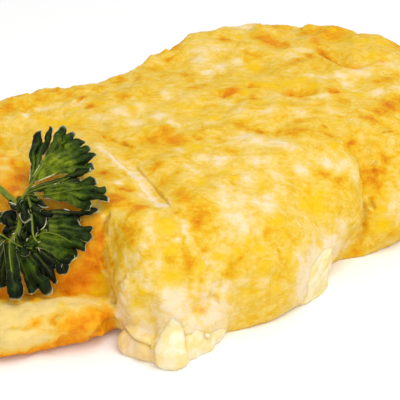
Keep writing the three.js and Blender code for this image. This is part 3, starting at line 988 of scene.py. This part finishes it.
def fillingMaterial(finish):
    material = newMaterial("soft filling", finish["shader"])
    tree = material.node_tree
    place = objectPlace(tree)
    color = blended(tree, finish["cream"], finish["white"], patch(tree, *finish["whitePatch"]))
    color = blended(tree, color, finish["yolk"], patch(tree, *finish["yolkPatch"]))
    upright = addNode(tree, "ShaderNodeMapping", {"Vector": place, "Scale": (1, 1, finish["streakLength"])})
    lines = noise(tree, upright.outputs[0], finish["grainSize"], 3.0)
    edge = {"Value": lines, "From Min": 0.0, "From Max": 0.12}
    streaks = {"streaks": addNode(tree, "ShaderNodeMapRange", edge).outputs[0]}
    share = weighted(tree, finish["peachShare"], streaks, {"streaks": finish["peachStreaks"]})
    color = blended(tree, color, finish["peach"], paintedMask(tree, "wedge"), share)
    small = {"small": noise(tree, place, *eggFinish["noises"]["small"])}
    done = weighted(tree, finish["eggBase"], small, {"small": finish["eggSmall"]})
    likeEgg = addRamp(tree, done, eggFinish["ramp"])
    color = blended(tree, color, likeEgg, patch(tree, paintedMask(tree, "border"), *finish["borderPatch"]))
    # Painted shade along the egg's edge and in the grooves.
    color = blended(tree, color, finish["seam"], paintedMask(tree, "seam"), finish["seamShadeShare"])
    return finishSurface(material, color, noise(tree, place, finish["grainSize"], 4.0), *finish["relief"])


def makeFilling(shape, skin, eggSkin, fillingSkin):
    # Where it shows it lies in the skin that it has in common with the egg, so that the two flow together.
    filling = remeshed(newPiece("filling_curds", nodeCopy("soft_filling", shape["swell"])), shape["voxel"])
    filling = smoothed(filling, *shape["smoothing"])
    points, normals = readPoints(filling.data)
    onSkin, outwards = points.copy(), normals.copy()
    for i, point in enumerate(points):
        spot, normal, _, _ = skin.find_nearest(Vector(point * mm))
        onSkin[i], outwards[i] = np.array(spot) / mm, normal
    buried = np.einsum("ij,ij->i", onSkin - points, outwards)
    shows = 1 - steps(buried, 0.7, 1.5)
    share, _ = besideFilling(onSkin, eggSkin, fillingSkin)
    cover, above, seen = coveredByEgg(onSkin)
    share *= 1 - cover
    uneven = unevenness(onSkin, eggShape["unevenness"]) + unevenness(points, shape["unevenness"]) * share
    lift = -shape["sink"] + (shape["sink"] + shape["lift"]) * share + uneven * steps(points[:, 2], 0.2, 1.5)
    beforeDrip = steps(dripStart + 0.5 - seen[:, 0], -1, 1.5)
    # Painted shade just under the egg's edge, and in the grooves below.
    seam = shape["seam"] * beforeDrip * bell(above + 0.8, shape["groove"])
    for line, depth in fillingGrooves:
        away, along, _ = nearLine(seen, line)
        groove = depth * bell(away, shape["groove"]) * fading(along, -0.1, 0.3)
        lift -= groove
        seam = np.maximum(seam, groove)
    points += shows[:, None] * (onSkin + outwards * lift[:, None] - points)
    points[:, 2] = np.maximum(points[:, 2], 0)
    writePoints(filling.data, points)
    writeMasks(filling.data, {
        "wedge": beforeDrip * (1 - cover), "seam": seam, "border": (1 - share) * steps(points[:, 2], 2, 5),
    })
    dress(filling, fillingMaterial(fillingFinish))
    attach(filling, "root")
    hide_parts("soft_filling")
    print("filling:", len(filling.data.vertices), "vertices")


# Parsley

sprig = {
    "place": (-54.5, -1.6, 29.5),
    "lean": 38.0,
    "turn": -58.0,
    "thickness": 0.26,
    "rows": 22,
    "columns": 18,
    "narrow": 0.3,
    "crinkle": (3.0, 0.95),  # size, height
    "warp": (4.0, 0.95),
    "bladeStep": 7.3,  # keeps the noises of two blades apart
}
# Blades in the sprig's own plane, tips clockwise: foot, tip of each lobe, how far the cuts between lobes
# go back, half width at the foot, half width of a lobe, rise in the middle, tone from dark to light (the
# leaf's own tone, with painted shade on the blades that lie in shade), and how strongly it crinkles where
# that isn't 1.
blades = [
    ((2.9, -2.7, -1.2), [(8.4, -9.3, -2.1), (4.5, -12.2, -2.7), (-0.1, -10.7, -1.5)],
     0.12, 1.8, 1.4, 0.4, 0.0),
    ((1.5, 2.5, 0.2), [(-2.3, 18.6, -5.0), (0.0, 20.2, -5.6)], 0.42, 0.7, 1.25, 0.6, 0.5),
    ((2.0, 3.6, 0.3), [(4.4, 20.3, -5.0), (6.5, 18.9, -4.6), (9.3, 17.5, -4.2), (11.9, 15.2, -3.8),
      (14.6, 13.2, -3.2), (15.1, 10.1, -2.4)],
     0.2, 1.0, 1.3, 1.2, 0.8),
    ((1.1, -0.1, 0.8), [(14.6, 8.6, -1.8), (12.6, 5.3, -1.0)], 0.35, 0.8, 1.1, 0.8, 0.5),
    ((7.8, -4.6, 0.0), [(18.7, -2.2, -0.6), (15.6, -4.5, -0.6)], 0.3, 1.2, 1.2, 0.6, 0.05),
    ((5.3, 0.4, 0.9), [(17.3, 5.5, -0.6), (20.2, 3.6, 0.0), (21.1, 1.0, 0.4), (17.9, -1.6, 0.2)],
     0.25, 1.6, 1.35, 1.2, 0.7),
    ((4.0, -6.5, -0.3), [(9.7, -3.2, -0.9), (11.3, -5.3, -0.8), (10.9, -8.0, -1.1)],
     0.2, 1.6, 1.4, 1.0, 0.02, 1.8),
    ((8.2, -12.3, -2.2), [(15.1, -14.2, -4.1), (13.5, -16.2, -5.5)], 0.15, 1.4, 1.4, 0.8, 0.4),
    ((5.2, -13.3, -2.0), [(12.2, -15.6, -4.2), (11.5, -18.5, -6.9), (8.8, -19.5, -6.6)],
     0.22, 2.0, 1.4, 1.0, 0.12),
    ((6.3, -11.1, -0.7), [(17.8, -10.1, -3.2), (15.4, -12.8, -4.6)], 0.22, 2.0, 1.9, 1.4, 0.65),
    ((6.6, -7.7, -0.2), [(15.4, -5.3, -0.3), (18.4, -6.9, -1.3), (18.7, -8.2, -2.4)],
     0.15, 1.8, 1.5, 1.4, 0.55),
    ((1.1, -12.8, -0.3), [(10.8, -22.3, -5.9), (7.6, -23.1, -5.2)], 0.16, 1.2, 1.5, 1.0, 0.45),
    ((-1.1, -12.9, -0.3), [(-1.6, -23.3, -5.8), (-3.7, -23.1, -5.1), (-6.1, -22.3, -4.1)],
     0.2, 1.4, 1.4, 1.0, 0.22),
    ((0.0, -13.0, -0.1), [(4.7, -26.3, -2.1)], 0.16, 1.6, 1.9, 1.0, 0.3),
    ((-2.4, -11.6, -0.1), [(-7.1, -20.5, -3.3), (-9.7, -18.4, -2.5), (-11.2, -15.6, -1.6)],
     0.22, 1.4, 1.4, 0.8, 0.22),
    ((-3.5, -7.3, 0.3), [(-10.6, -12.5, -0.8), (-12.8, -9.8, -0.7), (-13.6, -6.2, -1.3),
      (-12.2, -3.0, -1.6)],
     0.24, 1.4, 1.4, 0.8, 0.22),
    ((1.2, -8.8, -0.7), [(-1.9, -11.9, -0.4), (-3.2, -9.6, -0.1), (-3.5, -6.9, -0.1)],
     0.2, 1.6, 1.4, 1.0, 0.15, 1.8),
    ((5.8, -10.8, -0.4), [(6.3, -15.0, -2.5), (3.5, -15.1, -2.0), (2.2, -13.7, -0.9)],
     0.2, 1.4, 1.4, 1.2, 0.55, 1.8),
    ((0.6, -1.6, 0.6), [(2.2, -6.6, 1.4), (0.4, -7.2, 0.8), (-1.8, -6.4, 1.2), (-3.0, -4.4, 0.4)],
     0.3, 1.4, 0.9, 0.9, 0.35, 2.4),
    ((1.2, -1.2, 0.8), [(5.4, -1.6, 0.8), (6.6, -3.6, 1.4), (6.0, -5.6, 0.8), (4.2, -6.8, 1.4)],
     0.3, 1.4, 0.9, 0.9, 0.45, 2.4),
    ((3.2, -4.4, 0.2), [(6.6, -7.4, 1.0), (5.6, -9.4, 0.4), (3.6, -10.2, 0.8)],
     0.3, 1.2, 0.9, 0.7, 0.2, 2.2),
    ((1.4, -10.4, 0.3), [(4.4, -10.8, 0.8), (5.6, -13.2, 0.2), (3.6, -15.2, -0.6)],
     0.3, 1.2, 0.9, 0.7, 0.5, 2.2),
]
# Stems: points along the middle, radius at each end.
stems = [
    ([(-18.5, 3.6, -5.5), (-12.8, 3.0, -4), (-7.3, 0.9, -2.2), (-4.5, -0.9, -1.2), (-1.8, -2.7, -0.2),
      (-0.4, -3.5, 0.3), (0.8, -5.8, 0.3), (1.3, -8.9, 0.1), (0.6, -11.6, 0), (-0.2, -13.1, -0.2)],
     0.95, 0.6),
    ([(-0.4, -3.6, 0.3), (0.4, -2.1, 0.8), (0.8, -0.8, 1.0), (1.6, 1.8, 0.8), (2.4, 5, 0.7), (3, 8, 0)],
     0.5, 0.2),
    ([(0.8, -0.8, 1), (4.1, 1, 1.3), (7.4, 2.7, 1.1), (10.4, 5.1, 0.4)], 0.28, 0.12),
    ([(0.8, -0.8, 1), (3.7, -1, 1.5), (6.7, -0.6, 2), (9.5, 0.3, 2.2), (12.6, 1.6, 1.8)], 0.3, 0.12),
    ([(2.1, -1.8, 2), (3.6, -4.3, 2.4), (4.5, -7.3, 1.6), (5.4, -10.5, 0.9), (6.5, -11.9, 0.2)],
     0.32, 0.2),
    ([(-4, -11.1, 0.3), (-2.1, -11.6, 0.4), (0.4, -12.7, 0.4), (3, -13.6, 0.2), (5.6, -13.6, 0)],
     0.28, 0.16),
    ([(5.4, -11, 0), (7.9, -9.7, 0.9), (11.1, -9.6, 0.6), (14.4, -10.5, -0.9)], 0.22, 0.1),
    ([(0, -13, 0.2), (0.8, -15.7, 0.6), (1.9, -18.8, 0.3), (3, -21.9, -0.6)], 0.22, 0.1),
]
leafMasks = ("tone", "vein", "out", "across", "rim", "curl")


def leafMesh():
    bm = bmesh.new()
    for name in leafMasks:
        bm.verts.layers.float.new(name)
    return bm


def lobesOf(foot, tips, cut, lobe):
    # Direction and side of each lobe, and the points where the lobes meet.
    sides = []
    for tip in tips:
        ahead = (tip - foot) / np.linalg.norm(tip - foot)
        sides.append((ahead, np.array([ahead[1], -ahead[0], 0]) / math.hypot(ahead[0], ahead[1])))
    backs = [ahead * cut * np.linalg.norm(tip - foot) for tip, (ahead, _) in zip(tips, sides)]
    meets = [tips[0] - sides[0][1] * lobe - backs[0]]
    for i in range(len(tips) - 1):
        meets.append((tips[i] + tips[i + 1]) / 2 - (backs[i] + backs[i + 1]) / 2)
    meets.append(tips[-1] + sides[-1][1] * lobe - backs[-1])
    return sides, meets


def addBlade(bm, foot, tips, cut, base, lobe, arch, tone, curl=1.0):
    # A web from a short line at its foot to an outline of blunt lobes, with a sunken vein to each lobe.
    foot, tips = np.array(foot, float), np.array(tips, float)
    sides, meets = lobesOf(foot, tips, cut, lobe)
    count = len(tips)
    ahead = np.mean(tips, axis=0) - foot
    ahead[2] = 0
    ahead /= np.linalg.norm(ahead)
    right = np.array([ahead[1], -ahead[0], 0])
    grid = bmesh.ops.create_grid(bm, x_segments=sprig["columns"] * count, y_segments=sprig["rows"], size=1)
    layers = [bm.verts.layers.float.get(name) for name in leafMasks]
    for vert in grid["verts"]:
        across, edge = (vert.co.x + 1) / 2 * count, (vert.co.y + 1) / 2
        i = min(int(across), count - 1)
        u = 2 * (across - i) - 1  # -1 to 1 across one lobe
        v = 2 * across / count - 1  # and across the blade
        t = edge ** 0.9  # 0 to 1 from the foot to the outline
        tip, (toTip, toSide) = tips[i], sides[i]
        gap = meets[i + 1 if u > 0 else i] - tip
        wide, deep = gap @ toSide, gap @ toTip
        blunt = min(max(1.6 + 0.5 * abs(deep / wide), 2.2), 4.0)
        angle = abs(u) * math.pi / 2
        sideways, inwards = math.sin(angle) ** (2 / blunt), 1 - math.cos(angle) ** (2 / blunt)
        end = tip + wide * sideways * toSide + deep * inwards * toTip
        end[2] += (gap[2] - deep * toTip[2]) * sideways
        start = foot + right * base * v
        between = (start + end) / 2
        between -= right * ((between - foot) @ right) * sprig["narrow"]
        at = start * (1 - t) ** 2 + between * 2 * t * (1 - t) + end * t ** 2
        offCentre = abs(u) * abs(wide) * max(t, 0.15)
        at[2] += arch * 4 * t * (1 - t) * (1 - 0.35 * v ** 2)
        at[2] -= 0.08 * bell(offCentre, 0.22) * min(1, 4 * (1 - t))
        at[2] -= 0.4 * u * u * steps(t, 0.7, 1.0)
        vert.co = Vector(at) * mm
        vein = 0.28 * bell(offCentre, 0.1) * (1 - 0.95 * t)
        # The outline, where the painted highlight goes.
        rim = float(edge > 0.999 or abs(v) > 1 - 1e-6)
        for layer, value in zip(layers, (tone, vein, t, across + sprig["bladeStep"] * tone, rim, curl)):
            vert[layer] = value


def addStem(bm, points, start, end):
    # Rings along a chain of points, each joined to the last by an extrusion.
    tone, vein = (bm.verts.layers.float.get(name) for name in ("tone", "vein"))
    count = 24
    chain = [Vector(p) for p in points]
    spots = []
    for k in range(count + 1):
        at = k / count * (len(chain) - 1)
        i = min(int(at), len(chain) - 2)
        before, after = chain[max(i - 1, 0)], chain[min(i + 2, len(chain) - 1)]
        f = at - i
        spots.append(0.5 * (2 * chain[i] + (chain[i + 1] - before) * f
                            + (2 * before - 5 * chain[i] + 4 * chain[i + 1] - after) * f ** 2
                            + (3 * chain[i] - before - 3 * chain[i + 1] + after) * f ** 3))
    ring = bmesh.ops.create_circle(bm, cap_ends=True, segments=10, radius=1)["verts"]
    cap = ring[0].link_faces[0]
    made = list(ring)
    for k, spot in enumerate(spots):
        ahead = (spots[min(k + 1, count)] - spots[max(k - 1, 0)]).normalized()
        turn = ahead.to_track_quat("Z", "Y").to_matrix()
        radius = start + (end - start) * k / count
        if k > 0:
            grown = bmesh.ops.extrude_face_region(bm, geom=[cap])
            cap = next(g for g in grown["geom"] if isinstance(g, bmesh.types.BMFace))
            ring = list(cap.verts)
            made += ring
        for n, vert in enumerate(ring):
            angle = 2 * math.pi * n / len(ring)
            groove = 1 - 0.12 * (n % 2)
            vert.co = (spot + turn @ Vector((math.cos(angle), math.sin(angle), 0)) * radius * groove) * mm
            vert[vein] = 0.25 + 0.25 * (n % 2)
    for vert in made:
        vert[tone] = 0.75


leafFinish = {
    "ramp": [
        (0.0, (8, 18, 4)), (0.3, (20, 38, 2)), (0.55, (44, 66, 2)), (0.8, (88, 106, 6)),
        (1.0, (128, 140, 18)),
    ],
    "tone": {"streaks": 0.4, "blotches": 1.5, "tips": -0.5},
    "streaks": (1000 / 9, 3.0),  # size and detail of noise, like the next two
    "blotches": (2.6, 4.0, 0.6),
    "grain": (0.8, 4.0, 0.6),
    "streakLength": 0.12,
    "brown": srgb(78, 60, 20),
    "brownPatch": (0.35, 3.4, 0.8, 0.5, 0.9),
    "brownShare": 0.55,
    "vein": srgb(150, 162, 62),
    # Painted highlight along the leaf edges.
    "rim": srgb(232, 226, 180),
    "rimHighlightShare": 0.85,
    "relief": (0.5, 0.15),
    "shader": {
        "Roughness": 0.42, "Specular IOR Level": 0.1, "Subsurface Weight": 0.1,
        "Subsurface Radius": (0.5, 1.0, 0.1), "Subsurface Scale": 0.5 * mm,
    },
}


def leafMaterial(finish):
    # The streaks follow each blade, from its foot to the outline.
    material = newMaterial("parsley leaf", finish["shader"])
    tree = material.node_tree
    place = objectPlace(tree)
    out = paintedMask(tree, "out")
    onBlade = {0: paintedMask(tree, "across"), 1: mathNode(tree, "MULTIPLY", out, finish["streakLength"])}
    along = addNode(tree, "ShaderNodeCombineXYZ", onBlade).outputs[0]
    parts = {
        "streaks": noise(tree, along, *finish["streaks"]),
        "blotches": noise(tree, place, *finish["blotches"]),
        "tips": mathNode(tree, "POWER", out, 3.0),
    }
    # The blade tone is partly the leaf's own tone and partly painted shade.
    color = addRamp(tree, weighted(tree, paintedMask(tree, "tone"), parts, finish["tone"]), finish["ramp"])
    color = blended(tree, color, finish["brown"], patch(tree, *finish["brownPatch"]), finish["brownShare"])
    color = blended(tree, color, finish["vein"], paintedMask(tree, "vein"))
    # Painted highlight along the edges of the blades.
    rim = mathNode(tree, "POWER", paintedMask(tree, "rim"), 3.0)
    color = blended(tree, color, finish["rim"], rim, finish["rimHighlightShare"])
    height = weighted(tree, noise(tree, place, *finish["grain"]), parts, {"streaks": 0.9})
    return finishSurface(material, color, height, *finish["relief"])


def makeParsley():
    turn = Matrix.Rotation(math.radians(sprig["turn"]), 4, "Z")
    lean = Matrix.Rotation(math.radians(sprig["lean"]), 4, "X")
    place = Matrix.Translation(Vector(sprig["place"]) * mm) @ turn @ lean
    bm = leafMesh()
    for blade in blades:
        addBlade(bm, *blade)
    parsley = newPiece("parsley_leaves", bm)
    points, _ = readPoints(parsley.data)
    out, across, curl = (np.zeros(len(points)) for _ in range(3))
    for name, values in (("out", out), ("across", across), ("curl", curl)):
        parsley.data.attributes[name].data.foreach_get("value", values)
    size, height = sprig["crinkle"]
    shift = points + np.floor(across / sprig["bladeStep"])[:, None] * 5.1
    points[:, 2] += height * curl * lumps(shift, size, 12.4, 3) * steps(out, 0.05, 0.5)
    size, height = sprig["warp"]
    for axis, seed in ((0, 3.7), (1, 8.1)):
        points[:, axis] += height * curl * lumps(shift, size, seed, 3) * steps(out, 0.2, 0.9)
    writePoints(parsley.data, points)
    wall = parsley.modifiers.new("thickness", "SOLIDIFY")
    wall.thickness, wall.offset = sprig["thickness"] * mm, 0
    parsley = applied(parsley)
    bm = bmesh.new()
    bm.from_mesh(parsley.data)
    stalks = leafMesh()
    for chain, start, end in stems:
        addStem(stalks, chain, start, end)
    bmesh.ops.recalc_face_normals(stalks, faces=stalks.faces)
    moveInto(bm, stalks)
    bmesh.ops.transform(bm, matrix=place, verts=bm.verts)
    bm.to_mesh(parsley.data)
    bm.free()
    dress(parsley, leafMaterial(leafFinish))
    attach(parsley, "root")
    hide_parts("parsley_sprig")
    print("parsley:", len(parsley.data.vertices), "vertices")


addCamera(cameraLook)
addLights(studio)
addFloor(studio)
makeFilling(fillingShape, *makeEgg(eggShape))
makeParsley()
